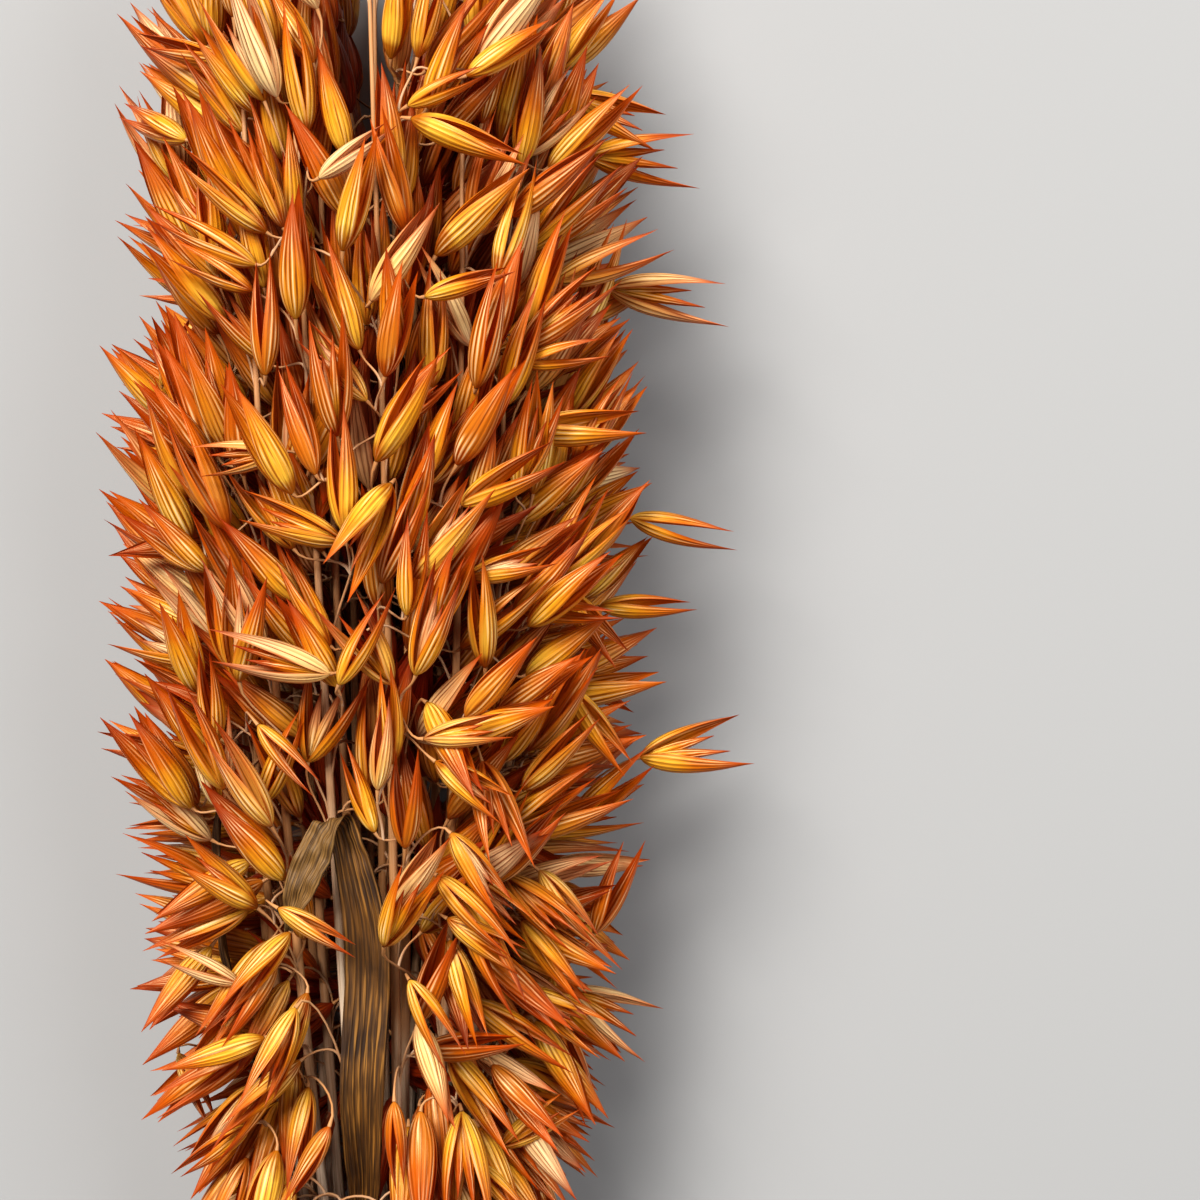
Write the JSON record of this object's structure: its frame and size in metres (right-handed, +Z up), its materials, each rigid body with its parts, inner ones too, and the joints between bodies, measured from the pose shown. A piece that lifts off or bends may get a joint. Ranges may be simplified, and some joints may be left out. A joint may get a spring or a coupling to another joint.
{
  "type": "dried oats",
  "caption": "Dried oats: a tied bunch of amber-dyed oat stalks with papery drooping spikelets and dry leaves, lying on its side.",
  "frame": {"origin": "on the surface that the bunch lies on, at the flat underside of the leaf pressed under the heads", "axes": "+Y along the bunch, from the cut stems towards the heads; +Z up off the surface; +X to the right of the side that the picture shows"},
  "size_m": [0.1447, 0.57, 0.1055],
  "materials": {
    "oat_husk": "matte",
    "dry_leaf": "matte",
    "twine": "matte"
  },
  "bodies": {
    "root": {"stalk_01": "oat_husk", "stalk_02": "oat_husk", "stalk_03": "oat_husk", "stalk_04": "oat_husk", "stalk_05": "oat_husk", "stalk_06": "oat_husk", "stalk_07": "oat_husk", "stalk_08": "oat_husk", "stalk_09": "oat_husk", "stalk_10": "oat_husk", "stalk_11": "oat_husk", "stalk_12": "oat_husk", "stalk_13": "oat_husk", "stalk_14": "oat_husk", "stalk_15": "oat_husk", "stalk_16": "oat_husk", "stalk_17": "oat_husk", "stalk_18": "oat_husk", "stalk_19": "oat_husk", "stalk_20": "oat_husk", "stalk_21": "oat_husk", "stalk_22": "oat_husk", "stalk_23": "oat_husk", "stalk_24": "oat_husk", "stalk_25": "oat_husk", "stalk_26": "oat_husk", "leaf_flag": "dry_leaf", "leaf_strip": "dry_leaf", "leaf_under": "dry_leaf", "tie": "twine"}
  },
  "joints": []
}
